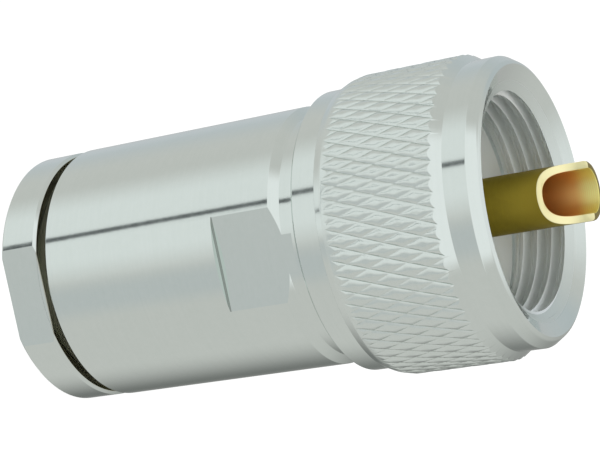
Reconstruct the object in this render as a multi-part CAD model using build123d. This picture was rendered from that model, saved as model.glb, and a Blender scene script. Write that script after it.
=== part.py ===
"""UHF plug of the clamp type, for a 10 mm coaxial cable, in millimetres.

The connector stands on the rear face of its clamp nut. Its axis is +Z, the centre contact
points up, and the spanner flats face -Y and +Y. Every piece is turned about the one axis.
"""
from build123d import *
import math
import os

# Clamp nut: its head, its spanner flats and its threaded neck
clamp_head_drop = 0.05
clamp_head_length = 3.18
clamp_rear_chamfer = 0.45
clamp_front_chamfer = 0.18
clamp_across_flats = 16.7
clamp_thread_diameter = 15.0
clamp_thread_pitch = 1.0
clamp_thread_length = 8.0
clamp_thread_lead = 0.5
cable_bore_diameter = 10.8
cable_mouth_chamfer = 0.8

# Cable clamp parts inside the barrel
stack_diameter = 13.6
washer_thickness = 0.8
gasket_length = 3.8
groove_depth = 1.3
groove_width = 1.3
wedge_height = 1.1
wedge_width = 1.0
flange_length = 1.4
jacket_seat_depth = 0.9
braid_bore_diameter = 8.3
braid_nose_diameter = 10.8
braid_nose_length = 1.9
braid_nose_taper = 0.4

# Plug body: barrel, neck and nose
body_diameter = 18.2
clamp_gap = 0.58
barrel_length = 18.04
barrel_rear_chamfer = 0.18
body_thread_length = 8.3
across_flats = 17.0
flat_length = 5.6
neck_diameter = 17.2
neck_taper_length = 0.6
neck_length = 5.2
nose_diameter = 14.4
nose_length = 1.8
nose_chamfer = 0.25
web_bore_diameter = 7.8
web_thickness = 1.8
braid_room = 0.95
key_width = 1.6
key_height = 0.5

# Insulators and centre contact
insulator_diameter = 11.6
rear_insulator_length = 1.6
insulator_recess = 0.2
contact_diameter = 4.0
contact_bore_diameter = 3.0
contact_shank_diameter = 4.6
contact_tail_length = 1.0
contact_reach = 11.7
contact_collar_diameter = 5.6
contact_collar_length = 1.0
contact_mouth_chamfer = 0.25
tip_round = 0.4
scoop_radius = 2.4
scoop_floor = 0.1
scoop_run = 0.7
scoop_turn = 11.0

# Coupling nut: rear collar, knurled band, front rim and 5/8-24 thread
collar_diameter = 19.58
collar_length = 1.9
collar_chamfer = 0.18
collar_standoff = 1.44
knurl_diameter = 20.84
knurl_length = 8.76
knurl_depth = 0.3
knurl_rear_rise = 0.42
knurl_teeth = 63
knurl_rows = 6
shoulder_angle = 41.5
rim_drop = 0.55
rim_length = 3.0
rim_round = 1.35
rim_corner_step = 0.03
countersink_angle = 120.0
countersink_depth = 0.9
coupling_thread_diameter = 15.875
threads_per_inch = 24
coupling_thread_length = 3.8
relief_diameter = 16.2

# Retaining ring between the neck and the coupling nut
ring_thickness = 0.9
ring_width = 0.8
ring_bite = 0.37
ring_land = 0.8
ring_opening = 3.0

# Clearances: turning fits, sliding fits, pressed pieces and faces that only meet
running_clearance = 0.08
thread_clearance = 0.05
press_gap = 0.02
face_gap = 0.03
ring_side_gap = 0.05
shoulder_gap = 0.3
braid_clearance = 0.4

# Radii and heights that several pieces share
inch = 25.4
clamp_thread_radius = clamp_thread_diameter / 2
clamp_minor_radius = clamp_thread_radius - 0.54 * clamp_thread_pitch
clamp_relief_radius = clamp_thread_radius - 0.65 * clamp_thread_pitch
coupling_pitch = inch / threads_per_inch
coupling_minor_radius = coupling_thread_diameter / 2 - 0.54 * coupling_pitch
neck_radius = neck_diameter / 2
coupling_bore_radius = neck_radius + running_clearance
stack_radius = stack_diameter / 2
cable_bore_radius = cable_bore_diameter / 2
nose_room_radius = braid_nose_diameter / 2 + braid_clearance
rim_radius = knurl_diameter / 2 - rim_drop
insulator_seat_radius = insulator_diameter / 2 + press_gap

clamp_neck_front = clamp_head_length + clamp_thread_length
washer_rear = clamp_neck_front + face_gap
gasket_rear = washer_rear + washer_thickness + face_gap
gasket_front = gasket_rear + gasket_length
flange_rear = gasket_front + face_gap
flange_front = flange_rear + flange_length
clamp_front = flange_front + braid_nose_length

body_rear = clamp_head_length + clamp_gap
barrel_front = body_rear + barrel_length
neck_rear = barrel_front + neck_taper_length
neck_front = neck_rear + neck_length
nose_front = neck_front + nose_length
flange_seat = flange_front + braid_room
web_rear = clamp_front + braid_room
web_front = web_rear + web_thickness

insulator_split = web_front + face_gap + rear_insulator_length
insulator_front = nose_front - insulator_recess
contact_tip = nose_front + contact_reach

coupling_rear = neck_rear + collar_standoff
knurl_rear = coupling_rear + collar_length
knurl_front = knurl_rear + knurl_length
coupling_front = knurl_front + rim_length
inner_shoulder = neck_front + shoulder_gap
thread_front = coupling_front - countersink_depth
thread_rear = thread_front - coupling_thread_length

ring_front = neck_front - ring_land
ring_rear = ring_front - ring_width
ring_outer_radius = coupling_bore_radius + ring_bite
ring_inner_radius = ring_outer_radius - ring_thickness
ring_floor_radius = coupling_bore_radius - ring_thickness - thread_clearance
ring_roof_radius = ring_outer_radius + running_clearance


def turned(*corners):
    """A solid of revolution about the connector's axis, from (radius, height) corners."""
    outline = Polyline(*corners, close=True)
    return revolve(Plane.XZ * make_face(outline), Axis.Z)


def flat_cutter(width, low, high):
    """Two blocks that leave spanner flats of a width across, between two heights."""
    depth = body_diameter / 2
    centre_height = (low + high) / 2
    cutters = []
    for side in (-1, 1):
        place = Pos(0, side * (width + depth) / 2, centre_height)
        cutters.append(place * Box(2 * body_diameter, depth, high - low))
    return cutters[0] + cutters[1]


def make_clamp_nut():
    """Flatted head and threaded neck, bored for the cable, with a bell mouth at the rear."""
    head = body_diameter / 2 - clamp_head_drop
    bore = cable_bore_radius
    neck = clamp_thread_radius - thread_clearance
    relief_front = clamp_head_length + clamp_thread_pitch
    nut = turned(
        (bore + cable_mouth_chamfer, 0),
        (head - clamp_rear_chamfer, 0),
        (head, clamp_rear_chamfer),
        (head, clamp_head_length - clamp_front_chamfer),
        (head - clamp_front_chamfer, clamp_head_length),
        (clamp_relief_radius, clamp_head_length),
        (clamp_relief_radius, relief_front),
        (neck, relief_front + neck - clamp_relief_radius),
        (neck, clamp_neck_front - clamp_thread_lead),
        (neck - clamp_thread_lead, clamp_neck_front),
        (bore, clamp_neck_front),
        (bore, cable_mouth_chamfer),
    )
    return nut - flat_cutter(clamp_across_flats, 0, clamp_head_length)


def make_thrust_washer():
    """Flat washer that keeps the turning nut from wringing the gasket."""
    inner = cable_bore_radius
    top = washer_rear + washer_thickness
    return turned((inner, washer_rear), (stack_radius, washer_rear), (stack_radius, top), (inner, top))


def wedge_middle():
    """Radius of the middle of the gasket's wall, where its groove and the wedge lie."""
    return (stack_radius + cable_bore_radius) / 2


def make_gasket():
    """Rubber ring with a V groove in its front face."""
    inner = cable_bore_radius
    middle = wedge_middle()
    return turned(
        (inner, gasket_rear),
        (stack_radius, gasket_rear),
        (stack_radius, gasket_front),
        (middle + groove_width / 2, gasket_front),
        (middle, gasket_front - groove_depth),
        (middle - groove_width / 2, gasket_front),
        (inner, gasket_front),
    )


def make_braid_clamp():
    """Ferrule: a wedge for the gasket's groove, a flange, and a nose that the braid folds over."""
    jacket = cable_bore_radius
    braid = braid_bore_diameter / 2
    nose = braid_nose_diameter / 2
    middle = wedge_middle()
    return turned(
        (jacket, flange_rear),
        (middle - wedge_width / 2, flange_rear),
        (middle, flange_rear - wedge_height),
        (middle + wedge_width / 2, flange_rear),
        (stack_radius, flange_rear),
        (stack_radius, flange_front),
        (nose, flange_front),
        (nose - braid_nose_taper, clamp_front),
        (braid, clamp_front),
        (braid, flange_rear + jacket_seat_depth),
        (jacket, flange_rear + jacket_seat_depth),
    )


def locating_key(angle):
    """One small key on the nose's face, which finds a notch of the socket."""
    inner = insulator_seat_radius
    width = nose_diameter / 2 - nose_chamfer - inner
    block = Pos(inner + width / 2, 0, nose_front) * Box(width, key_width, 2 * key_height)
    return Rot(0, 0, angle) * block


def make_plug_body():
    """Barrel with the clamp thread inside, neck for the coupling nut, and keyed nose."""
    barrel = body_diameter / 2
    nose = nose_diameter / 2
    bore = clamp_thread_radius
    thread_end = body_rear + body_thread_length
    ring_low = ring_rear - ring_side_gap
    ring_high = ring_front + ring_side_gap
    body = turned(
        (bore + barrel_rear_chamfer, body_rear),
        (barrel - barrel_rear_chamfer, body_rear),
        (barrel, body_rear + barrel_rear_chamfer),
        (barrel, barrel_front),
        (neck_radius, neck_rear),
        (neck_radius, ring_low),
        (ring_floor_radius, ring_low),
        (ring_floor_radius, ring_high),
        (neck_radius, ring_high),
        (neck_radius, neck_front - nose_chamfer),
        (neck_radius - nose_chamfer, neck_front),
        (nose, neck_front),
        (nose, nose_front - nose_chamfer),
        (nose - nose_chamfer, nose_front),
        (insulator_seat_radius, nose_front),
        (insulator_seat_radius, web_front),
        (web_bore_diameter / 2, web_front),
        (web_bore_diameter / 2, web_rear),
        (nose_room_radius, web_rear),
        (nose_room_radius, flange_seat),
        (clamp_minor_radius, flange_seat),
        (clamp_minor_radius, thread_end + bore - clamp_minor_radius),
        (bore, thread_end),
        (bore, body_rear + barrel_rear_chamfer),
    )
    flat_rear = neck_rear - flat_length + neck_taper_length
    body -= flat_cutter(across_flats, flat_rear, neck_rear + collar_standoff / 2)
    for angle in (0, 180):
        body += locating_key(angle)
    return body


def make_rear_insulator():
    """Disc that keeps the contact from being pushed back."""
    outer = insulator_diameter / 2
    hole = contact_shank_diameter / 2 + press_gap
    low = web_front + face_gap
    return turned((hole, low), (outer, low), (outer, insulator_split), (hole, insulator_split))


def make_front_insulator():
    """Long insulator round the contact, with a pocket for the contact's collar."""
    outer = insulator_diameter / 2
    hole = contact_shank_diameter / 2 + press_gap
    pocket = contact_collar_diameter / 2 + press_gap
    low = insulator_split + face_gap
    pocket_top = low + contact_collar_length + press_gap
    return turned(
        (pocket, low),
        (outer, low),
        (outer, insulator_front),
        (hole, insulator_front),
        (hole, pocket_top),
        (pocket, pocket_top),
    )


def scoop_cutter():
    """Path of the round cutter that opens the contact's tip into a solder cup.

    It comes in through the pin's side on a curve, and runs on past the tip along the middle.
    """
    width = 2 * contact_diameter
    run = contact_tip - scoop_run
    sweep = Pos(scoop_floor + scoop_radius, 0, run) * Rot(90, 0, 0) * Cylinder(scoop_radius, width)
    beyond = Pos(scoop_floor + width / 2, 0, run + width / 2) * Box(width, width, width)
    return Rot(0, 0, -90 - scoop_turn) * (sweep + beyond)


def make_centre_contact():
    """Hollow pin: thicker shank with a collar, a funnel at its tail and a scooped, open tip."""
    outer = contact_diameter / 2
    bore = contact_bore_diameter / 2
    shank = contact_shank_diameter / 2
    collar = contact_collar_diameter / 2
    tail = web_front - contact_tail_length
    collar_rear = insulator_split + face_gap
    collar_front = collar_rear + contact_collar_length
    pin = turned(
        (bore + contact_mouth_chamfer, tail),
        (shank, tail),
        (shank, collar_rear),
        (collar, collar_rear),
        (collar, collar_front),
        (shank, collar_front),
        (shank, insulator_front),
        (outer, insulator_front),
        (outer, contact_tip),
        (bore, contact_tip),
        (bore, tail + contact_mouth_chamfer),
    )
    rim = pin.edges().filter_by(GeomType.CIRCLE).group_by(Axis.Z)[-1].sort_by(SortBy.RADIUS)[-1]
    pin = fillet(rim, min(tip_round, 0.9 * (outer - bore)))
    return pin - scoop_cutter()


def shoulder_height(radius):
    """Height of the cone between the knurl and the rim, at a radius."""
    rise = radius - rim_radius
    return knurl_front - rise / math.tan(math.radians(shoulder_angle))


def knurl_point(row, step):
    """Corner of the knurled band: grooves cross on even sums of row and step, crests lie between.

    The first row is the foot of the rear bevel, the last but one ends on the front cone, and
    the last is the foot of that cone.
    """
    crest = knurl_diameter / 2
    radius = crest if (row + step) % 2 else crest - knurl_depth
    if row == 0:
        radius = crest - knurl_rear_rise
    if row > knurl_rows:
        radius = rim_radius + rim_corner_step
    height = knurl_rear + row * (shoulder_height(crest) - knurl_rear) / knurl_rows
    if row >= knurl_rows:
        height = shoulder_height(radius)
    angle = math.pi * step / knurl_teeth
    return Vector(radius * math.cos(angle), radius * math.sin(angle), height)


def knurl_facets(row, step):
    """The two facets between a row and the next, from one step to the next round the band."""
    near_low = knurl_point(row, step)
    far_low = knurl_point(row, step + 1)
    near_high = knurl_point(row + 1, step)
    far_high = knurl_point(row + 1, step + 1)
    if (row + step) % 2:
        corners = ((near_low, far_low, near_high), (far_low, far_high, near_high))
    else:
        corners = ((near_low, far_low, far_high), (near_low, far_high, near_high))
    return [Face(Wire.make_polygon(three, close=True)) for three in corners]


def make_knurl_drum():
    """Drum of four-sided pyramids, as two crossing sets of helical grooves leave them."""
    steps = range(2 * knurl_teeth)
    facets = []
    for row in range(knurl_rows + 1):
        for step in steps:
            facets += knurl_facets(row, step)
    for row in (0, knurl_rows + 1):
        ring = [knurl_point(row, step) for step in steps]
        facets.append(Face(Wire.make_polygon(ring, close=True)))
    return Solid(Shell(facets))


def coupling_cavity():
    """Space inside the coupling nut: neck bore, ring groove, relief, thread bore and lead-in."""
    relief = relief_diameter / 2
    ring_low = ring_rear - ring_side_gap
    ring_high = ring_front + ring_side_gap
    above = coupling_front + rim_length
    flare = math.tan(math.radians(countersink_angle / 2))
    thread_start = coupling_thread_diameter / 2
    lead_in = thread_front - (thread_start - coupling_minor_radius) / flare
    return turned(
        (0, coupling_rear - collar_length),
        (coupling_bore_radius, coupling_rear - collar_length),
        (coupling_bore_radius, ring_low),
        (ring_roof_radius, ring_low),
        (ring_roof_radius, ring_high),
        (coupling_bore_radius, ring_high),
        (coupling_bore_radius, inner_shoulder),
        (relief, inner_shoulder),
        (relief, thread_rear - relief + coupling_minor_radius),
        (coupling_minor_radius, thread_rear),
        (coupling_minor_radius, lead_in),
        (thread_start + (above - thread_front) * flare, above),
        (0, above),
    )


def make_coupling_nut():
    """Knurled nut: rear collar, band of diamond knurl, rounded front rim, thread bore and relief."""
    collar = collar_diameter / 2
    middle = (knurl_rear + knurl_front) / 2
    core = turned(
        (0, coupling_rear),
        (collar - collar_chamfer, coupling_rear),
        (collar, coupling_rear + collar_chamfer),
        (collar, middle),
        (rim_radius, middle),
        (rim_radius, coupling_front),
        (0, coupling_front),
    )
    corner = core.edges().filter_by(GeomType.CIRCLE).group_by(Axis.Z)[-1].sort_by(SortBy.RADIUS)[-1]
    core = fillet(corner, rim_round)
    return core + make_knurl_drum() - coupling_cavity()


def make_retaining_ring():
    """Open spring ring, half in the neck's groove and half in the coupling nut's."""
    ring = turned(
        (ring_inner_radius, ring_rear),
        (ring_outer_radius, ring_rear),
        (ring_outer_radius, ring_front),
        (ring_inner_radius, ring_front),
    )
    opening = Box(2 * ring_thickness, ring_opening, 2 * ring_width)
    return ring - Pos(ring_inner_radius, 0, ring_rear) * opening


def main():
    """Build every piece where it sits in the finished connector and write it."""
    os.makedirs("parts", exist_ok=True)
    pieces = {
        "clamp_nut": make_clamp_nut(),
        "thrust_washer": make_thrust_washer(),
        "gasket": make_gasket(),
        "braid_clamp": make_braid_clamp(),
        "plug_body": make_plug_body(),
        "rear_insulator": make_rear_insulator(),
        "front_insulator": make_front_insulator(),
        "centre_contact": make_centre_contact(),
        "retaining_ring": make_retaining_ring(),
        "coupling_nut": make_coupling_nut(),
    }
    for name, piece in pieces.items():
        export_step(piece, f"parts/{name}.step")
        print(name, round(piece.volume, 2))


main()
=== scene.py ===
import logging
import math
from dataclasses import dataclass, field
from enum import Enum
from typing import Callable, Optional, Union

import bmesh
import bpy
from mathutils import Matrix, Vector


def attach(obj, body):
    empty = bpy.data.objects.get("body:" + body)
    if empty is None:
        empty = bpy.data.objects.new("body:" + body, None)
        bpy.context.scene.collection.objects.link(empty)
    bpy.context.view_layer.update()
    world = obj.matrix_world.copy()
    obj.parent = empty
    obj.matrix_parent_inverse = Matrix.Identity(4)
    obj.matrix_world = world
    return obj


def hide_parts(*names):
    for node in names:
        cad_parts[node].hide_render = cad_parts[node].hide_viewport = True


MM = 0.001
MERGED = 1e-7
DEGENERATE = 1e-8
MERGED_PADS = 2e-6
OFF_ZERO = 1e-9
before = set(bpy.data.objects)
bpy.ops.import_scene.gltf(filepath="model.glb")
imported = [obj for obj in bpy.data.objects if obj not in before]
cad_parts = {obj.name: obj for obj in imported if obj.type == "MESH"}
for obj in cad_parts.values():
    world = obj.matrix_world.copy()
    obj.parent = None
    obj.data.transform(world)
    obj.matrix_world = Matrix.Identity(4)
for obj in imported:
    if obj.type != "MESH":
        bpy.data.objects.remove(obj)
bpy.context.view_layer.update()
log = logging.getLogger("plug")

Colour = tuple[float, float, float]
Corner = tuple[float, ...]
Piece = bpy.types.Object
Point = tuple[float, float]
Scalar = Union["Term", float]
Socket = bpy.types.NodeSocket


class Cut(Enum):
    """How a tool solid acts on the piece it meets."""

    REMOVE = "DIFFERENCE"
    KEEP = "INTERSECT"
    JOIN = "UNION"


class Term:
    """A socket that takes part in Python sums and products, which become Math nodes."""

    def __init__(self, sheet: "NodeSheet", socket: Socket) -> None:
        """Args: sheet: the tree under construction. socket: the output it stands for."""
        self.sheet = sheet
        self.socket = socket

    def __add__(self, other: Scalar) -> "Term":
        """The sum."""
        return self.sheet.math("ADD", self, other)

    def __radd__(self, other: Scalar) -> "Term":
        """The sum, with the number first."""
        return self.sheet.math("ADD", other, self)

    def __sub__(self, other: Scalar) -> "Term":
        """The difference."""
        return self.sheet.math("SUBTRACT", self, other)

    def __rsub__(self, other: Scalar) -> "Term":
        """The difference, with the number first."""
        return self.sheet.math("SUBTRACT", other, self)

    def __mul__(self, other: Scalar) -> "Term":
        """The product."""
        return self.sheet.math("MULTIPLY", self, other)

    def __rmul__(self, other: Scalar) -> "Term":
        """The product, with the number first."""
        return self.sheet.math("MULTIPLY", other, self)

    def __truediv__(self, other: Scalar) -> "Term":
        """The quotient."""
        return self.sheet.math("DIVIDE", self, other)

    def __rtruediv__(self, other: Scalar) -> "Term":
        """The quotient, with the number first."""
        return self.sheet.math("DIVIDE", other, self)

    def __gt__(self, other: Scalar) -> "Term":
        """1 where it is greater, 0 elsewhere."""
        return self.sheet.math("GREATER_THAN", self, other)

    def __lt__(self, other: Scalar) -> "Term":
        """1 where it is less, 0 elsewhere."""
        return self.sheet.math("LESS_THAN", self, other)

    def within(self, low: Scalar, high: Scalar) -> "Term":
        """1 between two numbers, 0 elsewhere."""
        return (self > low) * (self < high)

    def clamped(self) -> "Term":
        """The value held between 0 and 1."""
        return self.sheet.math("MINIMUM", self.sheet.math("MAXIMUM", self, 0.0), 1.0)


class NodeSheet:
    """A node tree under construction, for a material, the world or a geometry modifier."""

    def __init__(self, tree: bpy.types.NodeTree) -> None:
        """Args: tree: the tree, which is emptied first."""
        self.tree = tree
        tree.nodes.clear()

    def add(
        self, kind: str, settings: Optional[dict] = None, sockets: Optional[dict] = None
    ) -> bpy.types.Node:
        """Adds a node.

        Args:
            kind: the node's type.
            settings: its properties, set first.
            sockets: values, terms or sockets by input name or number.

        Returns:
            The node.
        """
        node = self.tree.nodes.new(kind)
        for key, value in (settings or {}).items():
            setattr(node, key, value)
        for key, value in (sockets or {}).items():
            self.feed(node.inputs[key], value)
        return node

    def feed(self, socket: Socket, value: object) -> None:
        """Links or sets one input.

        Args:
            socket: the input.
            value: a term, an output socket, a number, a tuple or an object.
        """
        if isinstance(value, Term):
            value = value.socket
        if isinstance(value, Socket):
            self.tree.links.new(value, socket)
        else:
            socket.default_value = value

    def math(self, operation: str, *values: Scalar) -> Term:
        """A Math node.

        Args:
            operation: its operation.
            values: its operands.

        Returns:
            Its result.
        """
        node = self.add("ShaderNodeMath", {"operation": operation}, dict(enumerate(values)))
        return Term(self, node.outputs[0])

    def term(self, node: bpy.types.Node, output: Union[int, str] = 0) -> Term:
        """One output of a node, as a term."""
        return Term(self, node.outputs[output])

    def smooth(self, value: Scalar, low: float, high: float) -> Term:
        """A smooth step.

        Args:
            value: the running value.
            low: where the step starts.
            high: where it ends.

        Returns:
            0 before low and 1 after high.
        """
        node = self.add(
            "ShaderNodeMapRange",
            {"interpolation_type": "SMOOTHSTEP"},
            {"Value": value, "From Min": low, "From Max": high},
        )
        return Term(self, node.outputs["Result"])

    def mix(self, factor: Scalar, first: object, second: object) -> Socket:
        """A colour mix.

        Args:
            factor: how much of the second colour.
            first: a colour or a socket.
            second: a colour or a socket.

        Returns:
            The mixed colour's socket.
        """
        node = self.add("ShaderNodeMix", {"data_type": "RGBA"}, {0: factor})
        for index, colour in ((6, first), (7, second)):
            self.feed(node.inputs[index], (*colour, 1.0) if isinstance(colour, tuple) else colour)
        return node.outputs[2]

    def bump(self, relief: Term) -> Socket:
        """The normal of a surface with a relief in metres."""
        sockets = {"Height": relief, "Distance": 1.0, "Strength": 1.0}
        return self.add("ShaderNodeBump", None, sockets).outputs[0]


class Finish:
    """A surface finish that makes its own material."""

    name: str

    def dress(self, sheet: NodeSheet) -> Socket:
        """Builds the finish's nodes and returns its shader socket."""
        raise NotImplementedError

    def material(self) -> bpy.types.Material:
        """Makes the finish's material, or finds it where it is made already.

        Returns:
            The material.
        """
        title = "worked_" + self.name
        made = bpy.data.materials.get(title)
        if made is None:
            made = bpy.data.materials.new(title)
            made.use_nodes = True
            sheet = NodeSheet(made.node_tree)
            sheet.add("ShaderNodeOutputMaterial", None, {"Surface": self.dress(sheet)})
        return made


@dataclass(frozen=True)
class Plating(Finish):
    """Metal plating over turned work, with the tool's marks showing through."""

    name: str
    colour: Colour
    shade: Colour
    roughness: float
    roughness_spread: float = 0.05
    mark_spacing: float = 0.16
    mark_height: float = 0.0002
    grain_size: float = 0.5
    grain_height: float = 0.0004
    wander: float = 1.6
    cloud_size: float = 6.25
    noise_shares: tuple[float, float, float] = (0.35, 0.35, 0.3)
    contrast: float = 2.2
    inner_radius: float = 0.0
    inner_roughness: float = 0.4
    band: Point = (0.0, 0.0)
    band_radius: float = 0.0
    band_roughness: float = 0.3

    def dress(self, sheet: NodeSheet) -> Socket:
        """Turning marks run round the axis on walls and faces alike.

        Args:
            sheet: the material's tree.

        Returns:
            The shader's socket.
        """
        place = sheet.add("ShaderNodeTexCoord").outputs["Object"]
        axes = sheet.add("ShaderNodeSeparateXYZ", None, {0: place})
        east, north, height = place_terms = [sheet.term(axes, index) for index in range(3)]
        radius = sheet.math("SQRT", east * east + north * north + OFF_ZERO)
        spacing = self.mark_spacing * MM
        around = sheet.add(
            "ShaderNodeCombineXYZ", None,
            {0: east / radius * self.wander, 1: north / radius * self.wander, 2: radius / spacing},
        )
        marks = sheet.term(sheet.add(
            "ShaderNodeTexNoise", {"noise_dimensions": "4D"},
            {"Vector": around.outputs[0], "W": height / spacing, "Scale": 1.0, "Detail": 2.0},
        ))
        grain = sheet.term(sheet.add(
            "ShaderNodeTexNoise", None,
            {"Vector": place, "Scale": 1 / (self.grain_size * MM), "Detail": 3.0, "Roughness": 0.6},
        ))
        cloud = sheet.term(sheet.add(
            "ShaderNodeTexNoise", None,
            {"Vector": place, "Scale": 1 / (self.cloud_size * MM), "Detail": 2.0},
        ))
        of_marks, of_grain, of_cloud = self.noise_shares
        blend = of_marks * marks + of_grain * grain + of_cloud * cloud
        tone = (blend - 0.5) * self.contrast + 0.5
        sheen = self.sheen(radius, height)
        relief = marks * (self.mark_height * MM) + grain * (self.grain_height * MM)
        bump = sheet.bump(relief)
        colour = self.tint(sheet, place_terms, sheet.mix(tone.clamped(), self.shade, self.colour))
        shader = sheet.add(
            "ShaderNodeBsdfPrincipled", None,
            {
                "Base Color": colour,
                "Metallic": 1.0,
                "Roughness": sheen + (grain - 0.5) * (2 * self.roughness_spread),
                "Normal": bump,
            },
        )
        return shader.outputs[0]

    def tint(self, sheet: NodeSheet, axes: list[Term], colour: Socket) -> Socket:
        """Leaves the colour as it is; a finish with marks, painted light or painted shade of its
        own adds them here.
        """
        return colour

    def sheen(self, radius: Term, height: Term) -> Scalar:
        """Roughness that differs inside the bores and on a band of cold-worked metal.

        Args:
            radius: distance from the axis in metres.
            height: height along the axis in metres.

        Returns:
            The roughness before its grain.
        """
        sheen: Scalar = self.roughness
        if self.inner_radius:
            inside = radius < self.inner_radius * MM
            sheen = sheen + inside * (self.inner_roughness - self.roughness)
        if self.band_radius:
            low, high = self.band
            worked = height.within(low * MM, high * MM) * (radius > self.band_radius * MM)
            sheen = sheen + worked * (self.band_roughness - self.roughness)
        return sheen


@dataclass(frozen=True)
class PaintedShadingPlating(Plating):
    """Plating with a painted tone in a recess, standing in for its light and shade, and a painted
    shade line at the foot of each spanner flat.
    """

    # The recess tone is painted light or painted shade, as each finish sets it; the corner colour
    # is painted shade.
    recess: Point = (0.0, 0.0)
    recess_radius: float = 0.0
    recess_painted_shading: Colour = (0.5, 0.5, 0.5)
    corner: Point = (0.0, 0.0)
    corner_skin: float = 0.004
    corner_run: Point = (0.002, 0.1)
    corner_weight: float = 0.7
    corner_painted_shade: Colour = (0.2, 0.21, 0.19)

    def tint(self, sheet: NodeSheet, axes: list[Term], colour: Socket) -> Socket:
        """Paints the recess's light and shade, and a painted shade line in the corner at the foot
        of each flat.

        Args:
            sheet: the material's tree.
            axes: object coordinates in metres.
            colour: the colour so far.

        Returns:
            The colour with the painted recess tone and the painted corner shade in it.
        """
        radius = sheet.math("SQRT", axes[0] * axes[0] + axes[1] * axes[1])
        low, high = self.recess
        # Painted tone in the recess, standing in for the shade or light that falls there.
        inside = (radius < self.recess_radius * MM) * axes[2].within(low * MM, high * MM)
        colour = sheet.mix(inside, colour, self.recess_painted_shading)
        # Painted shade line in the corner at the foot of each flat's wall.
        foot, side = self.corner
        if side:
            north = sheet.math("ABSOLUTE", axes[1])
            near = north.within((side - self.corner_skin) * MM, (side + self.corner_skin) * MM)
            start, end = (foot + rise for rise in self.corner_run)
            line = near * axes[2].within(start * MM, end * MM)
            colour = sheet.mix(line * self.corner_weight, colour, self.corner_painted_shade)
        return colour


@dataclass(frozen=True)
class CupPlating(Plating):
    """Gold plating whose freshly cut cup edge is paler than the turned wall, with a painted
    reflection lining the bore.
    """

    cut_colour: Colour = (0.86, 0.80, 0.46)
    cut_margin: Point = (0.03, 0.06)
    bore: float = 1.52
    # The bore's lining is painted reflection: deep orange inside, paler and brighter at the mouth.
    deep_painted_reflection: Colour = (0.82, 0.49, 0.17)
    mouth_painted_light: Colour = (0.84, 0.79, 0.30)
    ring_step: float = 0.14
    ring_depth: float = 0.15
    mouth: Point = (39.3, 40.5)
    tip: Point = (34.5, 38.5)
    tip_colour: Colour = (0.23, 0.175, 0.022)
    cup_radius: float = 2.4
    cup_centre: Point = (2.5, 40.4)
    cup_azimuth: float = -101.0

    def tint(self, sheet: NodeSheet, axes: list[Term], colour: Socket) -> Socket:
        """Darkens the tip, lines the bore with a painted reflection and pales the surface that the
        cup's cutter left.

        Args:
            sheet: the material's tree.
            axes: object coordinates in metres.
            colour: the colour so far.

        Returns:
            The colour with the cut in it.
        """
        turn = math.radians(self.cup_azimuth)
        ahead = axes[0] * math.cos(turn) + axes[1] * math.sin(turn) - self.cup_centre[0] * MM
        drop = sheet.math("MINIMUM", axes[2] - self.cup_centre[1] * MM, 0.0)
        reach = sheet.math("SQRT", ahead * ahead + drop * drop)
        start, end = (self.cup_radius + margin for margin in self.cut_margin)
        cut = 1 - sheet.smooth(reach, start * MM, end * MM)
        out = sheet.smooth(axes[2], self.tip[0] * MM, self.tip[1] * MM)
        colour = sheet.mix(out, colour, self.tip_colour)
        # Painted reflection in the bore: deep orange light bouncing inside, paler towards the
        # mouth, crossed by turning rings.
        opened = sheet.smooth(axes[2], self.mouth[0] * MM, self.mouth[1] * MM)
        rings = sheet.math("SINE", axes[2] * (2 * math.pi / (self.ring_step * MM)))
        ringed = opened * ((1 - self.ring_depth) + self.ring_depth * rings)
        painted_lining = sheet.mix(ringed, self.deep_painted_reflection, self.mouth_painted_light)
        radius = sheet.math("SQRT", axes[0] * axes[0] + axes[1] * axes[1])
        colour = sheet.mix(radius < self.bore * MM, colour, painted_lining)
        return sheet.mix(cut * (radius > self.bore * MM), colour, self.cut_colour)


@dataclass(frozen=True)
class Moulding(Finish):
    """Plastic or rubber with a fine grain."""

    name: str
    colour: Colour
    shade: Colour
    roughness: float
    grain_size: float
    grain_height: float
    contrast: float = 2.0
    sheen_spread: float = 0.2

    def dress(self, sheet: NodeSheet) -> Socket:
        """A fine noise gives the tone, the sheen and the grain.

        Args:
            sheet: the material's tree.

        Returns:
            The shader's socket.
        """
        place = sheet.add("ShaderNodeTexCoord").outputs["Object"]
        grain = sheet.term(sheet.add(
            "ShaderNodeTexNoise", None,
            {"Vector": place, "Scale": 1 / (self.grain_size * MM), "Detail": 4.0},
        ))
        relief = grain * (self.grain_height * MM)
        bump = sheet.bump(relief)
        tone = (grain - 0.5) * self.contrast + 0.5
        shader = sheet.add(
            "ShaderNodeBsdfPrincipled", None,
            {
                "Base Color": sheet.mix(tone.clamped(), self.shade, self.colour),
                "Roughness": self.roughness + (grain - 0.5) * self.sheen_spread,
                "Normal": bump,
            },
        )
        return shader.outputs[0]


# The recess tone here is painted shade in the gap between the clamp nut's head and the body; the
# corner line is painted shade at the foot of the body's flats.
SATIN_NICKEL = PaintedShadingPlating(
    "satin_nickel", (0.615, 0.665, 0.64), (0.585, 0.64, 0.61), 0.09, roughness_spread=0.03,
    grain_height=0.0014, inner_radius=8.3, recess=(2.9, 3.85), recess_radius=8.86,
    recess_painted_shading=(0.50, 0.50, 0.42), corner=(17.4, 8.5),
)
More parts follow.
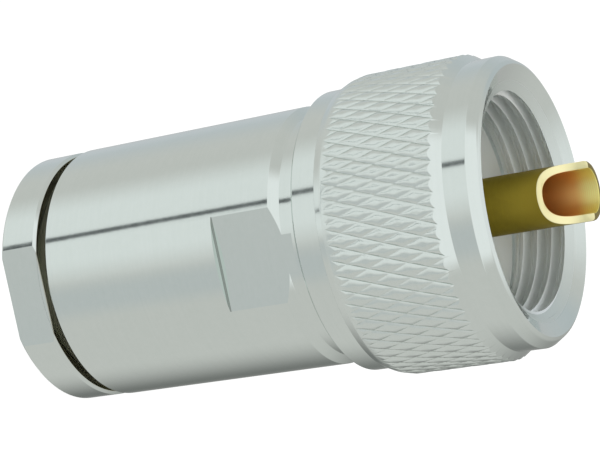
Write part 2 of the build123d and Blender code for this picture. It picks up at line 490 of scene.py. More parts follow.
# The recess tone here is painted light: a paler lining inside the coupling nut, standing in for
# light that bounces round the thread.
KNURLED_NICKEL = PaintedShadingPlating(
    "knurled_nickel", (0.615, 0.665, 0.64), (0.585, 0.64, 0.61), 0.1, roughness_spread=0.03,
    mark_spacing=0.2, grain_height=0.0007, inner_radius=8.2, inner_roughness=0.34,
    band=(26.2, 34.1), band_radius=10.0, band_roughness=0.22,
    recess=(27.0, 36.3), recess_radius=8.2, recess_painted_shading=(0.88, 0.91, 0.90),
)
INNER_NICKEL = Plating("inner_nickel", (0.58, 0.60, 0.56), (0.50, 0.52, 0.49), 0.25)
GOLD_PLATE = CupPlating(
    "gold_plate", (0.45, 0.35, 0.045), (0.34, 0.26, 0.034), 0.4, roughness_spread=0.04,
    grain_size=0.3, inner_radius=1.52, inner_roughness=0.45,
)
SPRING_BRONZE = Plating("spring_bronze", (0.55, 0.36, 0.18), (0.45, 0.29, 0.14), 0.3)
PTFE = Moulding("ptfe", (0.86, 0.86, 0.83), (0.81, 0.81, 0.78), 0.45, 0.3, 0.002)
GASKET_RUBBER = Moulding(
    "gasket_rubber", (0.045, 0.045, 0.045), (0.03, 0.03, 0.03), 0.6, 0.15, 0.004
)


class Lathe:
    """Turns outlines round the connector's axis."""

    arc_share: float = 0.45
    land_share: float = 0.3
    least_land: float = 0.01
    most_land_share: float = 0.08

    def __init__(self, columns: int = 192) -> None:
        """Args: columns: how many steps go round the axis."""
        self.columns = columns

    @staticmethod
    def broken(corners: list[Corner], steps: int = 3) -> list[Point]:
        """Breaks the edges of an outline.

        Args:
            corners: (radius, height) in mm, with the edge break's radius as an optional third.
            steps: segments in each rounded edge.

        Returns:
            The outline, with arcs and with a short land each side of each arc.
        """
        outline: list[Point] = []
        count = len(corners)
        for index, corner in enumerate(corners):
            here = Vector(corner[:2])
            if len(corner) < 3:
                outline.append((here.x, here.y))
                continue
            back = Vector(corners[index - 1][:2]) - here
            ahead = Vector(corners[(index + 1) % count][:2]) - here
            half = back.angle(ahead) / 2
            reach = min(
                corner[2] / math.tan(half),
                Lathe.arc_share * back.length,
                Lathe.arc_share * ahead.length,
            )
            size = reach * math.tan(half)
            inwards = (back.normalized() + ahead.normalized()).normalized()
            centre = here + inwards * (size / math.sin(half))
            start = here + back.normalized() * reach
            end = here + ahead.normalized() * reach
            land = min(
                Lathe.land_share * reach + Lathe.least_land,
                Lathe.most_land_share * min(back.length, ahead.length),
            )
            outline.append(tuple(start + back.normalized() * land))
            sweep = (start - centre).angle_signed(end - centre)
            for step in range(steps + 1):
                turn = Matrix.Rotation(-sweep * step / steps, 2)
                outline.append(tuple(centre + turn @ (start - centre)))
            outline.append(tuple(end + ahead.normalized() * land))
        return outline

    def turned(self, name: str, outline_at: Callable[[float], list[Point]]) -> Piece:
        """Turns a closed outline that may change as it goes round.

        Args:
            name: the object's name.
            outline_at: gives the outline in mm at a share of a turn, always with as many points.

        Returns:
            A closed solid in metres, in the scene.
        """
        shape = bmesh.new()
        rings = []
        for column in range(self.columns + 1):
            angle = 2 * math.pi * column / self.columns
            outline = outline_at(column / self.columns)
            rings.append([
                shape.verts.new((r * MM * math.cos(angle), r * MM * math.sin(angle), z * MM))
                for r, z in outline
            ])
        count = len(rings[0])
        for near, far in zip(rings, rings[1:]):
            for index in range(count):
                after = (index + 1) % count
                shape.faces.new((near[index], far[index], far[after], near[after]))
        bmesh.ops.remove_doubles(shape, verts=shape.verts, dist=MERGED)
        bmesh.ops.dissolve_degenerate(shape, edges=shape.edges, dist=DEGENERATE)
        bmesh.ops.recalc_face_normals(shape, faces=shape.faces)
        return Bench.placed(name, shape)

    def plain(self, name: str, corners: list[Corner]) -> Piece:
        """Turns one outline all the way round.

        Args:
            name: the object's name.
            corners: the outline's corners, as broken() takes them.

        Returns:
            The solid.
        """
        outline = self.broken(corners)
        return self.turned(name, lambda share: outline)


@dataclass(frozen=True)
class Thread:
    """A right-hand screw thread of 60 degree form, in mm."""

    pitch: float
    crest: float
    root: float
    crest_share: float = 0.2
    root_share: float = 0.14

    def wall(self, share: float, low: float, high: float) -> list[Point]:
        """The threaded wall's outline at a share of a turn.

        Args:
            share: how far round the axis, from 0 to 1.
            low: height where the wall starts.
            high: height where it ends.

        Returns:
            Points from low to high, always as many for one low and high.
        """
        marks = [
            (0.0, self.crest),
            (self.crest_share, self.crest),
            ((1 + self.crest_share - self.root_share) / 2, self.root),
            ((1 + self.crest_share + self.root_share) / 2, self.root),
        ]
        first = math.floor(low / self.pitch) - 2
        last = math.ceil(high / self.pitch) + 2
        points: list[Point] = []
        for turn in range(first, last + 1):
            for offset, radius in marks:
                points.append((radius, (turn + offset + share) * self.pitch))
        return [self.held(points, index, low, high) for index in range(len(points))]

    @staticmethod
    def held(points: list[Point], index: int, low: float, high: float) -> Point:
        """Slides a point that lies outside the wall along the outline to the wall's end.

        Args:
            points: the endless outline.
            index: which point.
            low: height where the wall starts.
            high: height where it ends.

        Returns:
            The point inside the wall.
        """
        radius, height = points[index]
        if low <= height <= high:
            return (radius, height)
        limit = low if height < low else high
        for (r0, z0), (r1, z1) in zip(points, points[1:]):
            if z0 <= limit <= z1 and z1 > z0:
                return (r0 + (r1 - r0) * (limit - z0) / (z1 - z0), limit)
        return (radius, limit)


class Bench:
    """Mesh work that the sub-assemblies share."""

    sharp_angle: float = 32.0
    straight: float = 0.99995
    outreach: float = 12.0

    @staticmethod
    def placed(name: str, shape: bmesh.types.BMesh) -> Piece:
        """Puts a mesh in the scene.

        Args:
            name: the object's name.
            shape: its mesh, which is freed.

        Returns:
            The object.
        """
        mesh = bpy.data.meshes.new(name)
        shape.to_mesh(mesh)
        shape.free()
        piece = bpy.data.objects.new(name, mesh)
        bpy.context.scene.collection.objects.link(piece)
        return piece

    @staticmethod
    def block(name: str, low: Corner, high: Corner, turn: Optional[Matrix] = None) -> Piece:
        """A square block between two corners in mm.

        Args:
            name: the object's name.
            low: its lowest corner.
            high: its highest corner.
            turn: how it is turned about the frame's origin.

        Returns:
            The block.
        """
        shape = bmesh.new()
        bmesh.ops.create_cube(shape, size=1.0)
        for vertex in shape.verts:
            vertex.co = Vector([
                (a + b) / 2 * MM + c * (b - a) * MM for a, b, c in zip(low, high, vertex.co)
            ])
        if turn is not None:
            bmesh.ops.transform(shape, matrix=turn, verts=shape.verts)
        return Bench.placed(name, shape)

    @staticmethod
    def flats(half: float, rear: float, front: float) -> list[tuple[Cut, Piece]]:
        """The cuts of a pair of spanner flats, one on each side.

        Args:
            half: half the width across the flats, in mm.
            rear: height where they start.
            front: height where they end.

        Returns:
            The steps, as worked() takes them.
        """
        steps = []
        for sign in (-1, 1):
            near, away = sorted((sign * half, sign * Bench.outreach))
            low, high = (-Bench.outreach, near, rear), (Bench.outreach, away, front)
            steps.append((Cut.REMOVE, Bench.block("flat", low, high)))
        return steps

    @staticmethod
    def worked(piece: Piece, steps: list[tuple[Cut, Piece]]) -> Piece:
        """Cuts, keeps or joins with tool solids, which are then thrown away.

        Args:
            piece: the solid that is worked on.
            steps: each action and its tool, in order.

        Returns:
            The piece, as a plain mesh.
        """
        for cut, tool in steps:
            change = piece.modifiers.new(cut.name, "BOOLEAN")
            change.operation = cut.value
            change.solver = "EXACT"
            change.object = tool
        Bench.settle(piece)
        for _, tool in steps:
            bpy.data.objects.remove(tool)
        return piece

    @staticmethod
    def settle(piece: Piece) -> None:
        """Turns a piece and its modifiers into one plain mesh.

        Args:
            piece: the piece, which keeps its name.
        """
        graph = bpy.context.evaluated_depsgraph_get()
        mesh = bpy.data.meshes.new_from_object(piece.evaluated_get(graph))
        piece.modifiers.clear()
        piece.data = mesh
        mesh.name = piece.name

    @staticmethod
    def crisp(mesh: bpy.types.Mesh) -> None:
        """Keeps the edges round the flats, whose faces look straight along Y, sharp.

        Args:
            mesh: the piece's mesh.
        """
        sides: dict[tuple[int, int], set[bool]] = {}
        for face in mesh.polygons:
            for key in face.edge_keys:
                sides.setdefault(key, set()).add(abs(face.normal.y) > Bench.straight)
        for edge in mesh.edges:
            edge.use_edge_sharp = edge.use_edge_sharp or len(sides[edge.key]) > 1

    @staticmethod
    def finished(piece: Piece, finish: Finish, body: str, node: str) -> None:
        """Smooths, dresses and hands a piece to the frame.

        Args:
            piece: the finished mesh.
            finish: its finish, whose name is the record's slot.
            body: the body it rides on.
            node: the CAD node it stands for.
        """
        mesh = piece.data
        mesh.materials.clear()
        mesh.materials.append(finish.material())
        mesh.shade_smooth()
        mesh.set_sharp_from_angle(angle=math.radians(Bench.sharp_angle))
        Bench.crisp(mesh)
        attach(piece, body)
        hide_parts(node)
        triangles = sum(len(face.vertices) - 2 for face in mesh.polygons)
        log.info("%s: %d triangles, %s", piece.name, triangles, finish.name)

    @staticmethod
    def dressed(node: str, finish: Finish) -> None:
        """Gives a carried-over CAD node its finish.

        Args:
            node: the node's name.
            finish: its finish.
        """
        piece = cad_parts[node]
        piece.data.materials.clear()
        piece.data.materials.append(finish.material())
        log.info("%s: CAD solid, %s", node, finish.name)


@dataclass
class CableClamp:
    """Clamp nut at the rear, with the pieces that it squeezes on the cable."""

    head_radius: float = 9.05
    head_length: float = 2.97
    rear_chamfer: float = 0.2
    front_chamfer: float = 0.2
    bore: float = 5.4
    mouth: float = 0.8
    relief_radius: float = 6.85
    neck_radius: float = 7.45
    neck_front: float = 11.18
    lead: float = 0.5
    half_flats: float = 8.35
    thread: Thread = Thread(1.0, 7.45, 6.9)
    thread_gap: float = 0.9
    break_size: float = 0.05
    front_break: float = 0.03
    over: float = 0.3
    proud: float = 0.05
    lead_columns: int = 96

    def nut(self) -> Piece:
        """The head, its flats and the threaded neck.

        Returns:
            The nut.
        """
        soft = self.break_size
        before = Lathe.broken([
            (self.bore + self.mouth, 0, soft),
            (self.head_radius - self.rear_chamfer, 0, soft),
            (self.head_radius, self.rear_chamfer, soft),
            (self.head_radius, self.head_length - self.front_chamfer, self.front_break),
            (self.head_radius - self.front_chamfer, self.head_length, self.front_break),
            (self.relief_radius, self.head_length),
        ])
        start = self.head_length + self.thread_gap
        after = [(self.bore, self.neck_front), (self.bore, self.mouth)]

        def outline(share: float) -> list[Point]:
            """The outline at a share of a turn."""
            wall = self.thread.wall(share, start, self.neck_front)
            return before + [(self.relief_radius, start)] + wall + after

        nut = Lathe().turned("clamp_nut_turned", outline)
        far = 2 * self.neck_radius
        cone = Lathe(self.lead_columns).plain("neck_lead", [
            (self.neck_radius - self.lead - self.proud, self.neck_front + self.proud),
            (self.neck_radius + self.over, self.neck_front - self.lead - self.over),
            (far, self.neck_front - self.lead - self.over),
            (far, self.neck_front + self.proud),
        ])
        flats = Bench.flats(self.half_flats, -1, self.head_length)
        return Bench.worked(nut, [(Cut.REMOVE, cone)] + flats)

    def build(self) -> None:
        """Makes the nut and dresses the squeezed pieces."""
        Bench.finished(self.nut(), SATIN_NICKEL, "clamp_nut", "clamp_nut")
        Bench.dressed("thrust_washer", INNER_NICKEL)
        Bench.dressed("gasket", GASKET_RUBBER)
        Bench.dressed("braid_clamp", INNER_NICKEL)


@dataclass
class PlugBody:
    """Barrel, neck and keyed nose, with the insulators and the spring ring."""

    barrel: float = 9.1
    rear: float = 3.76
    barrel_front: float = 21.8
    neck: float = 8.6
    neck_rear: float = 22.4
    neck_front: float = 27.6
    nose: float = 7.2
    nose_front: float = 29.4
    half_flats: float = 8.5
    flat_rear: float = 17.4
    flat_front: float = 23.12
    key_width: float = 1.6
    key_height: float = 0.5
    key_depth: float = 0.3
    key_span: Point = (5.821, 6.949)
    mouth: float = 7.68
    rear_chamfer: float = 0.18
    front_chamfer: float = 0.25
    groove: Point = (25.95, 26.85)
    groove_floor: float = 7.73
    nose_bore: float = 5.82
    web: Point = (20.12, 21.92)
    web_bore: float = 3.9
    pocket_bore: float = 5.8
    pocket_rear: float = 18.22
    clamp_bore: float = 6.96
    clamp_bore_rear: float = 12.6
    thread_bore: float = 7.5
    thread_bore_front: float = 12.06
    break_size: float = 0.04

    def shell(self) -> Piece:
        """The turned body with its flats and keys.

        Returns:
            The body.
        """
        soft = self.break_size
        edge = self.front_chamfer
        groove_rear, groove_front = self.groove
        web_rear, web_front = self.web
        body = Lathe().plain("plug_body_turned", [
            (self.mouth, self.rear),
            (self.barrel - self.rear_chamfer, self.rear, soft),
            (self.barrel, self.rear + self.rear_chamfer, soft),
            (self.barrel, self.barrel_front, soft),
            (self.neck, self.neck_rear, soft),
            (self.neck, groove_rear),
            (self.groove_floor, groove_rear),
            (self.groove_floor, groove_front),
            (self.neck, groove_front),
            (self.neck, self.neck_front - edge, soft),
            (self.neck - edge, self.neck_front, soft),
            (self.nose, self.neck_front),
            (self.nose, self.nose_front - edge, soft),
            (self.nose - edge, self.nose_front, soft),
            (self.nose_bore, self.nose_front, soft),
            (self.nose_bore, web_front),
            (self.web_bore, web_front),
            (self.web_bore, web_rear),
            (self.pocket_bore, web_rear),
            (self.pocket_bore, self.pocket_rear),
            (self.clamp_bore, self.pocket_rear),
            (self.clamp_bore, self.clamp_bore_rear),
            (self.thread_bore, self.thread_bore_front),
            (self.thread_bore, self.rear + self.rear_chamfer),
        ])
        flats = Bench.flats(self.half_flats, self.flat_rear, self.flat_front)
        steps = []
        for sign, flat in zip((-1, 1), flats):
            inner, outer = sorted(sign * side for side in self.key_span)
            half = self.key_width / 2
            low = (inner, -half, self.nose_front - self.key_depth)
            high = (outer, half, self.nose_front + self.key_height)
            steps += [flat, (Cut.JOIN, Bench.block("key", low, high))]
        return Bench.worked(body, steps)

    def build(self) -> None:
        """Makes the body and dresses what it holds."""
        Bench.finished(self.shell(), SATIN_NICKEL, "plug_body", "plug_body")
        Bench.dressed("rear_insulator", PTFE)
        Bench.dressed("front_insulator", PTFE)
        Bench.dressed("retaining_ring", SPRING_BRONZE)


@dataclass
class CentreContact:
    """Hollow gold-plated pin whose tip is scooped open as a solder cup."""

    radius: float = 2.0
    bore: float = 1.5
    shank: float = 2.3
    collar: float = 2.8
    tail: float = 20.92
    collar_rear: float = 23.58
    collar_front: float = 24.58
    shank_front: float = 29.2
    tip: float = 41.1
    tip_round: float = 0.42
    scoop_radius: float = 2.4
    scoop_floor: float = 0.1
    scoop_run: float = 0.7
    scoop_azimuth: float = -101.0
    outreach: float = 4.0
    break_size: float = 0.05
    bore_chamfer: float = 0.25
    bevel_angle: float = 40.0
    columns: int = 128

    def scoops(self) -> list[Piece]:
        """The round and the square tool that open the tip.

        Returns:
            A cylinder lying across the pin and the block in front of it.
        """
        centre = self.scoop_floor + self.scoop_radius
        height = self.tip - self.scoop_run
        turn = Matrix.Rotation(math.radians(self.scoop_azimuth), 4, "Z")
        far = self.outreach
        cutter = Lathe().plain("scoop_round", [
            (0, -far), (self.scoop_radius, -far), (self.scoop_radius, far), (0, far),
        ])
        lying = Matrix.Rotation(math.pi / 2, 4, "X")
        cutter.data.transform(turn @ (Matrix.Translation((centre * MM, 0, height * MM)) @ lying))
        low, high = (self.scoop_floor, -far, height), (2 * far, far, height + far)
        return [cutter, Bench.block("scoop_square", low, high, turn)]

    def pin(self) -> Piece:
        """The pin with its scooped tip.

        Returns:
            The pin.
        """
        soft = self.break_size
        pin = Lathe(self.columns).plain("centre_contact_turned", [
            (self.bore + self.bore_chamfer, self.tail),
            (self.shank, self.tail, soft),
            (self.shank, self.collar_rear),
            (self.collar, self.collar_rear, soft),
            (self.collar, self.collar_front, soft),
            (self.shank, self.collar_front),
            (self.shank, self.shank_front, soft),
            (self.radius, self.shank_front),
            (self.radius, self.tip, self.tip_round),
            (self.bore, self.tip, soft),
            (self.bore, self.tail + self.bore_chamfer),
        ])
        return Bench.worked(pin, [(Cut.REMOVE, tool) for tool in self.scoops()])

    def build(self) -> None:
        """Makes the pin, with its cut edges just broken."""
        pin = self.pin()
        edge = pin.modifiers.new("edge", "BEVEL")
        edge.width = self.break_size * MM
        edge.segments = 2
        edge.limit_method = "ANGLE"
        edge.angle_limit = math.radians(self.bevel_angle)
        Bench.settle(pin)
        Bench.finished(pin, GOLD_PLATE, "plug_body", "centre_contact")


@dataclass
class DiamondKnurl:
    """Two crossing sets of helical grooves, as rows of diamond pads round the nut."""

    teeth: int = 63
    crest: float = 10.416
    depth: float = 0.145
    cross_share: float = 0.75
    row_step: float = 1.385
    crossing_height: float = 30.25
    crossing_azimuth: float = -95.0
    rows_below: int = 6
    rows_above: int = 6
    stations: tuple[float, ...] = (-1.0, -0.86, -0.6, -0.3, 0.0, 0.3, 0.6, 0.86, 1.0)
    flank: float = 0.68

    def swell(self, across: float) -> float:
        """Height of a pad's side above the groove, as a share of the depth.

        Args:
            across: 1 at the groove's bottom, 0 in the pad's middle.

        Returns:
            0 at the groove and 1 on the pad.
        """
        share = min((1 - abs(across)) / self.flank, 1.0)
        return math.sin(share * math.pi / 2)

    def pad(self) -> Piece:
        """One diamond pad, bent to the nut and centred on the X axis at height 0.

        Returns:
            The pad, with a few dozen faces.
        """
        shape = bmesh.new()
        half_angle = math.pi / self.teeth
        grid = []
        for first in self.stations:
            line = []
            for second in self.stations:
                lift = min(1 - self.cross_share * (1 - self.swell(first)), self.swell(second))
                radius = (self.crest - self.depth + self.depth * lift) * MM
                angle = half_angle * (first + second) / 2
                height = self.row_step * (first - second) / 2 * MM
                corner = (radius * math.cos(angle), radius * math.sin(angle), height)
                line.append(shape.verts.new(corner))
            grid.append(line)
        for near, far in zip(grid, grid[1:]):
            for index in range(len(near) - 1):
                shape.faces.new((near[index], near[index + 1], far[index + 1], far[index]))
        bmesh.ops.reverse_faces(shape, faces=shape.faces)
        return Bench.placed("knurl_pad", shape)

    def tree(self) -> bpy.types.NodeTree:
        """Places the pad on the lattice.

        Returns:
            A geometry tree with named inputs for the lattice's sizes.
        """
        tree = bpy.data.node_groups.new("diamond_lattice", "GeometryNodeTree")
        sheet = NodeSheet(tree)
        face = tree.interface
        face.new_socket("Geometry", in_out="OUTPUT", socket_type="NodeSocketGeometry")
        face.new_socket("Geometry", in_out="INPUT", socket_type="NodeSocketGeometry")
        for label, kind in (
            ("Pad", "NodeSocketObject"),
            ("Teeth", "NodeSocketInt"),
            ("Rows", "NodeSocketInt"),
            ("Row Step", "NodeSocketFloat"),
            ("First Height", "NodeSocketFloat"),
            ("First Angle", "NodeSocketFloat"),
            ("Finish", "NodeSocketMaterial"),
        ):
            face.new_socket(label, in_out="INPUT", socket_type=kind)
        given = sheet.add("NodeGroupInput")
        teeth = sheet.term(given, "Teeth")
        rows = sheet.term(given, "Rows")
        count = sheet.math("MULTIPLY", teeth, rows)
        points = sheet.add("GeometryNodePoints", None, {"Count": count})
        index = sheet.term(sheet.add("GeometryNodeInputIndex"))
        row = sheet.math("FLOOR", (index + 0.5) / teeth)
        column = index - row * teeth
        shift = sheet.math("MODULO", row, 2.0) * 0.5
        angle = sheet.term(given, "First Angle") + (column + shift) * (2 * math.pi) / teeth
        height = sheet.term(given, "First Height") + row * sheet.term(given, "Row Step")
        place = sheet.add("ShaderNodeCombineXYZ", None, {2: height})
        moved = sheet.add(
            "GeometryNodeSetPosition", None,
            {"Geometry": points.outputs[0], "Position": place.outputs[0]},
        )
        turn = sheet.add("ShaderNodeCombineXYZ", None, {2: angle})
        euler = sheet.add("FunctionNodeEulerToRotation", None, {0: turn.outputs[0]})
        pad = sheet.add("GeometryNodeObjectInfo", None, {"Object": given.outputs["Pad"]})
        spread = sheet.add(
            "GeometryNodeInstanceOnPoints", None,
            {
                "Points": moved.outputs[0],
                "Instance": pad.outputs["Geometry"],
                "Rotation": euler.outputs[0],
            },
        )
        real = sheet.add("GeometryNodeRealizeInstances", None, {0: spread.outputs[0]})
        finish = sheet.add(
            "GeometryNodeSetMaterial", None,
            {"Geometry": real.outputs[0], "Material": given.outputs["Finish"]},
        )
        sheet.add("NodeGroupOutput", None, {0: finish.outputs[0]})
        return tree

    def drum(self, finish: Finish) -> Piece:
        """A closed drum whose wall is all pads, longer than the knurled band.

        Args:
            finish: the finish its faces carry.

        Returns:
            The drum.
        """
        pad = self.pad()
        mesh = bpy.data.meshes.new("knurl_drum")
        drum = bpy.data.objects.new("knurl_drum", mesh)
        bpy.context.scene.collection.objects.link(drum)
        change = drum.modifiers.new("lattice", "NODES")
        change.node_group = self.tree()
        half_tooth = (1 - self.rows_below % 2) * math.pi / self.teeth
        values = {
            "Pad": pad,
            "Teeth": self.teeth,
            "Rows": self.rows_below + self.rows_above + 1,
            "Row Step": self.row_step * MM,
            "First Height": (self.crossing_height - self.rows_below * self.row_step) * MM,
            "First Angle": math.radians(self.crossing_azimuth) + half_tooth,
            "Finish": finish.material(),
        }
        for item in change.node_group.interface.items_tree:
            if item.in_out == "INPUT" and item.name in values:
                change[item.identifier] = values[item.name]
        Bench.settle(drum)
        bpy.data.objects.remove(pad)
        shape = bmesh.new()
        shape.from_mesh(drum.data)
        bmesh.ops.remove_doubles(shape, verts=shape.verts, dist=MERGED_PADS)
        open_edges = [edge for edge in shape.edges if edge.is_boundary]
        bmesh.ops.holes_fill(shape, edges=open_edges, sides=0)
        bmesh.ops.recalc_face_normals(shape, faces=shape.faces)
        shape.to_mesh(drum.data)
        shape.free()
        return drum


@dataclass
class CouplingNut:
    """Knurled nut with a rear collar, a chamfered front rim and an inside thread."""

    rear: float = 23.84
    collar: float = 9.79
    collar_front: float = 25.74
    knurl_foot: float = 10.0
    knurl_swell: Point = (10.26, 26.35)
    knurl_start: float = 27.1
    knurl_front: float = 34.06
    rim: float = 9.87
    shoulder: float = 34.82
    rim_front: float = 36.42
    lip: Point = (9.44, 37.08)
    front: float = 37.5
    mouth: float = 8.7
    core: float = 7.0
    thread_rear: float = 31.0
    rear_chamfer: float = 0.18
    break_size: float = 0.04
    edge_break: float = 0.03
    neck_bore: float = 8.68
    groove: Point = (25.95, 26.85)
    groove_radius: float = 9.13
    neck_bore_front: float = 27.9
    relief: float = 8.1
    relief_front: float = 32.07
    thread_bore: float = 7.3
    thread_bore_rear: float = 32.87
    sink_start: Point = (7.9375, 36.6)
    sink_angle: float = 63.7
    sink_front: float = 38.2
    swell_break: float = 0.3
    crest_break: float = 0.5
    rim_break: float = 0.12
    lip_break: float = 0.3
    columns: int = 256
    thread: Thread = Thread(1.0583, 7.366, 7.9375, 0.22, 0.13)
    knurl: DiamondKnurl = field(default_factory=DiamondKnurl)

    def blank(self) -> Piece:
        """The nut before knurling and boring, with its thread cut too long.

        Returns:
            The blank.
        """
        soft, crisp = self.break_size, self.edge_break
        outside = Lathe.broken([
            (self.core, self.rear),
            (self.collar - self.rear_chamfer, self.rear, soft),
            (self.collar, self.rear + self.rear_chamfer, soft),
            (self.collar, self.collar_front),
            (self.knurl_foot, self.collar_front, soft),
            (*self.knurl_swell, self.swell_break),
            (self.knurl.crest, self.knurl_start, self.crest_break),
            (self.knurl.crest, self.knurl_front, crisp),
            (self.rim, self.shoulder, crisp),
            (self.rim, self.rim_front, self.rim_break),
            (*self.lip, self.lip_break),
            (self.mouth, self.front),
        ])

        def outline(share: float) -> list[Point]:
            """The outline at a share of a turn."""
            wall = self.thread.wall(share, self.thread_rear, self.front)
            return outside + wall[::-1] + [(self.core, self.thread_rear)]

        return Lathe(self.columns).turned("coupling_nut_turned", outline)

    def cavity(self) -> Piece:
        """The boring tool's path: neck bore, ring groove, relief, and countersink.

        Returns:
            A solid that is cut out of the blank.
        """
        slope = math.tan(math.radians(self.sink_angle))
        sink_radius, sink_height = self.sink_start
        low = sink_height - (sink_radius - self.thread_bore) / slope
        groove_rear, groove_front = self.groove
        return Lathe(self.columns).plain("boring", [
            (0, self.rear - 1),
            (self.neck_bore, self.rear - 1),
            (self.neck_bore, groove_rear),
            (self.groove_radius, groove_rear),
            (self.groove_radius, groove_front),
            (self.neck_bore, groove_front),
            (self.neck_bore, self.neck_bore_front),
            (self.relief, self.neck_bore_front),
            (self.relief, self.relief_front),
            (self.thread_bore, self.thread_bore_rear),
            (self.thread_bore, low),
            (self.thread_bore + (self.sink_front - low) * slope, self.sink_front),
            (0, self.sink_front),
        ])

    def build(self) -> None:
        """Cuts the knurl and the cavity into the blank."""
        blank = self.blank()
        drum = self.knurl.drum(KNURLED_NICKEL)
        nut = Bench.worked(blank, [(Cut.KEEP, drum), (Cut.REMOVE, self.cavity())])
        Bench.finished(nut, KNURLED_NICKEL, "coupling_nut", "coupling_nut")


@dataclass(frozen=True)
class Panel:
    """A soft-edged part of the studio, in degrees round the plug and above the horizon."""

    azimuth: float
    width: float
    edge: float
    low: float
    high: float
    rise: float
    tone: Colour

    def mask(self, sheet: NodeSheet, azimuth: Term, elevation: Term) -> Term:
        """How far the panel covers a direction.

        Args:
            sheet: the world's tree.
            azimuth: the direction's azimuth in degrees.
            elevation: its elevation in degrees.

        Returns:
            1 on the panel and 0 beside it.
        """
        aside = sheet.math("ABSOLUTE", sheet.math("WRAP", azimuth - self.azimuth, 180.0, -180.0))
        half = self.width / 2
        across = 1 - sheet.smooth(aside, half - self.edge, half + self.edge)
        above = sheet.smooth(elevation, self.low - self.rise, self.low + self.rise)
        below = 1 - sheet.smooth(elevation, self.high - self.rise, self.high + self.rise)
        return across * above * below


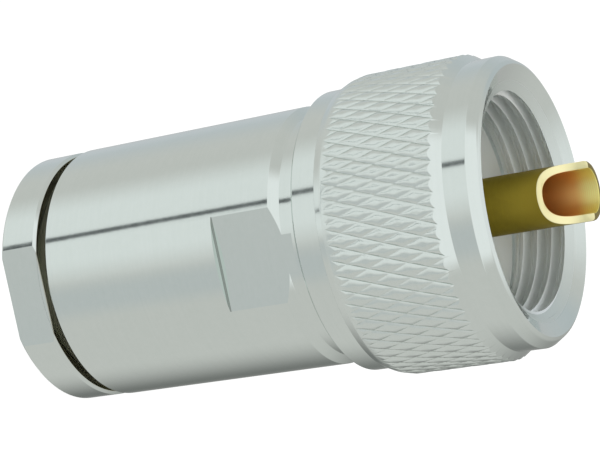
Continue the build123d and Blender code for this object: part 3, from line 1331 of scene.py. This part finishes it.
@dataclass
class Studio:
    """A pale room with soft panels round the plug, a floor, two lamps and the camera."""

    level: float = 1.0
    room: Colour = (0.78, 0.77, 0.75)
    # azimuth, width, edge, low, high, rise, tone
    overhead: Panel = Panel(0, 400, 10, 58, 110, 12, (1.08, 1.09, 1.10))
    tall_softbox: Panel = Panel(-108, 116, 8, 6, 70, 12, (1.16, 1.17, 1.18))
    low_softbox: Panel = Panel(-134, 74, 16, -110, 6, 12, (1.03, 1.05, 1.05))
    soft_shade: Panel = Panel(-74, 26, 9, -110, 0, 8, (0.70, 0.72, 0.73))
    cool_side: Panel = Panel(115, 50, 20, -50, 40, 10, (0.66, 0.70, 0.73))
    dark_side: Panel = Panel(58, 60, 30, -130, 5, 40, (0.20, 0.21, 0.20))
    strip: Panel = Panel(-133.3, 4.0, 0.9, -110, -12, 0.5, (0.105, 0.115, 0.12))
    floor_reach: float = 3.0
    paper: Point = (0.16, 0.9)
    lamp_aim: float = 20.0
    focal_length: float = 119.37
    sensor_width: float = 36.0
    clip_start: float = 0.005
    right: Corner = (0.206417, 0.430888, 0.878480)
    up: Corner = (-0.975728, 0.157741, 0.151897)
    back: Corner = (-0.073122, -0.888512, 0.452990)
    standpoint: Corner = (-11.271, -124.534, 83.060)

    def surroundings(self) -> None:
        """The world: white for the camera, and the room with its panels for all other rays."""
        world = bpy.data.worlds.new("studio")
        bpy.context.scene.world = world
        world.use_nodes = True
        world.cycles.sampling_method = "NONE"
        sheet = NodeSheet(world.node_tree)
        ray = sheet.add("ShaderNodeTexCoord").outputs["Generated"]
        axes = sheet.add("ShaderNodeSeparateXYZ", None, {0: ray})
        east, north, height = (sheet.term(axes, index) for index in range(3))
        azimuth = sheet.math("ARCTAN2", north, east) * (180 / math.pi)
        elevation = sheet.math("ARCSINE", height) * (180 / math.pi)
        tone = self.room
        for panel in (
            self.overhead, self.tall_softbox, self.low_softbox, self.soft_shade,
            self.cool_side, self.dark_side, self.strip,
        ):
            tone = sheet.mix(panel.mask(sheet, azimuth, elevation), tone, panel.tone)
        studio = sheet.add("ShaderNodeBackground", None, {0: tone, 1: self.level})
        white = sheet.add("ShaderNodeBackground", None, {0: (1, 1, 1, 1), 1: 1.0})
        path = sheet.add("ShaderNodeLightPath")
        shader = sheet.add(
            "ShaderNodeMixShader", None,
            {0: path.outputs["Is Camera Ray"], 1: studio.outputs[0], 2: white.outputs[0]},
        )
        sheet.add("ShaderNodeOutputWorld", None, {0: shader.outputs[0]})

    def floor(self) -> None:
        """A wide pale floor that takes the shadow and lets reflections reach the studio."""
        grey, glow = self.paper
        shape = bmesh.new()
        bmesh.ops.create_grid(shape, x_segments=1, y_segments=1, size=self.floor_reach)
        floor = Bench.placed("floor", shape)
        paper = bpy.data.materials.new("floor_paper")
        paper.use_nodes = True
        sheet = NodeSheet(paper.node_tree)
        diffuse = sheet.add("ShaderNodeBsdfDiffuse", None, {0: (grey, grey, grey, 1.0)})
        lit = sheet.add("ShaderNodeEmission", None, {0: (1.0, 1.0, 1.0, 1.0), 1: glow})
        pale = sheet.add("ShaderNodeAddShader", None, {0: diffuse.outputs[0], 1: lit.outputs[0]})
        clear = sheet.add("ShaderNodeBsdfTransparent")
        path = sheet.add("ShaderNodeLightPath")
        rays = sheet.term(path, "Is Glossy Ray") + sheet.term(path, "Is Transmission Ray")
        surface = sheet.add(
            "ShaderNodeMixShader", None,
            {0: rays.clamped(), 1: pale.outputs[0], 2: clear.outputs[0]},
        )
        sheet.add("ShaderNodeOutputMaterial", None, {0: surface.outputs[0]})
        floor.data.materials.append(paper)

    def lamp(self, name: str, place: Corner, size: float, power: float) -> None:
        """A soft lamp that looks at the plug's middle.

        Args:
            name: its name.
            place: its place in metres.
            size: its width in metres.
            power: its power in watts.
        """
        light = bpy.data.lights.new(name, "AREA")
        light.size = size
        light.energy = power
        holder = bpy.data.objects.new(name, light)
        holder.visible_glossy = False
        aim = Vector((0, 0, self.lamp_aim * MM)) - Vector(place)
        turned = aim.to_track_quat("-Z", "Y").to_matrix().to_4x4()
        holder.matrix_world = Matrix.Translation(place) @ turned
        bpy.context.scene.collection.objects.link(holder)

    def camera(self) -> None:
        """The photograph's camera, fitted to the plug's round edges."""
        data = bpy.data.cameras.new("camera")
        data.lens = self.focal_length
        data.sensor_width = self.sensor_width
        data.clip_start = self.clip_start
        holder = bpy.data.objects.new("camera", data)
        pose = Matrix((self.right, self.up, self.back)).transposed().to_4x4()
        pose.translation = Vector(self.standpoint) * MM
        holder.matrix_world = pose
        bpy.context.scene.collection.objects.link(holder)
        bpy.context.scene.camera = holder

    def build(self) -> None:
        """Sets up light, floor, camera and view."""
        bpy.context.scene.view_settings.view_transform = "Standard"
        self.surroundings()
        self.floor()
        self.lamp("key", place=(-0.25, -0.30, 0.45), size=0.25, power=0.9)
        self.lamp("fill", place=(0.35, -0.15, 0.30), size=0.30, power=0.4)
        self.camera()


def main() -> None:
    """Builds the plug's sub-assemblies and the studio round them."""
    logging.basicConfig(level=logging.INFO, format="%(message)s")
    Studio().build()
    for assembly in (CableClamp(), PlugBody(), CentreContact(), CouplingNut()):
        assembly.build()


if __name__ == "__main__":
    main()
